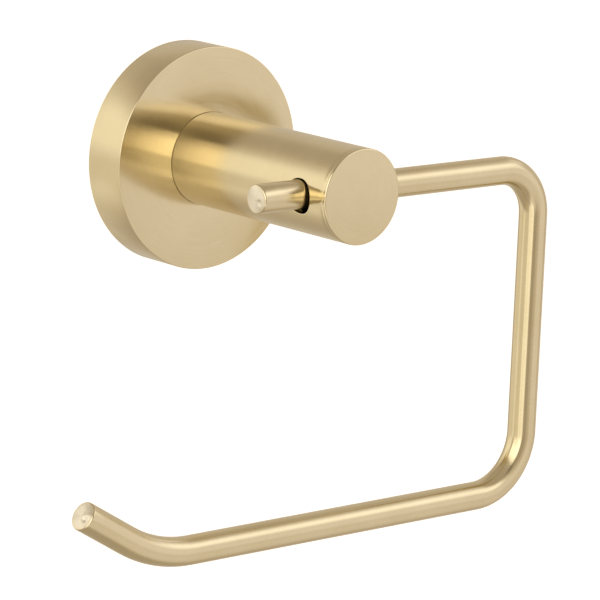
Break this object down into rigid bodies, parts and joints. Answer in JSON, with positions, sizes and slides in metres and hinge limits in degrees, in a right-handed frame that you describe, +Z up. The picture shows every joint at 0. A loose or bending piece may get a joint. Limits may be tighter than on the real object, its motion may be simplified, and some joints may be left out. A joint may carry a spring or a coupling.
{
  "type": "toilet paper holder",
  "caption": "Wall-mounted toilet paper holder: round rosette, straight round post and a bent round arm with a raised open end that swings about its upper run.",
  "frame": {"origin": "centre of the wall bracket's back face, where the post's axis meets the wall", "axes": "+Z up; +Y into the wall, so the holder stands out along -Y; +X to the right for someone facing the wall, the side that the arm's leg is on"},
  "size_m": [0.1423, 0.069, 0.1126],
  "materials": {
    "satin_gold": "fine brushed, pale champagne gold, lacquered",
    "zinc_plated_steel": "bright zinc plated",
    "bracket_zinc": "die-cast zinc, tumbled"
  },
  "bodies": {
    "wall_mount": {"wall_bracket": "bracket_zinc", "rosette": "satin_gold", "rosette_grub_screw": "zinc_plated_steel", "tie_bolt": "zinc_plated_steel", "spring_washer": "zinc_plated_steel", "flat_washer": "zinc_plated_steel", "post_tube": "satin_gold", "post_nose": "satin_gold", "arm_retaining_screw": "zinc_plated_steel"},
    "swing_arm": {"arm": "satin_gold"}
  },
  "joints": [
    {"name": "arm_swing", "type": "hinge", "parent": "wall_mount", "child": "swing_arm", "pos_m": [0, -0.059, 0], "axis": [-1, 0, 0], "range_deg": [-42, 222]}
  ]
}
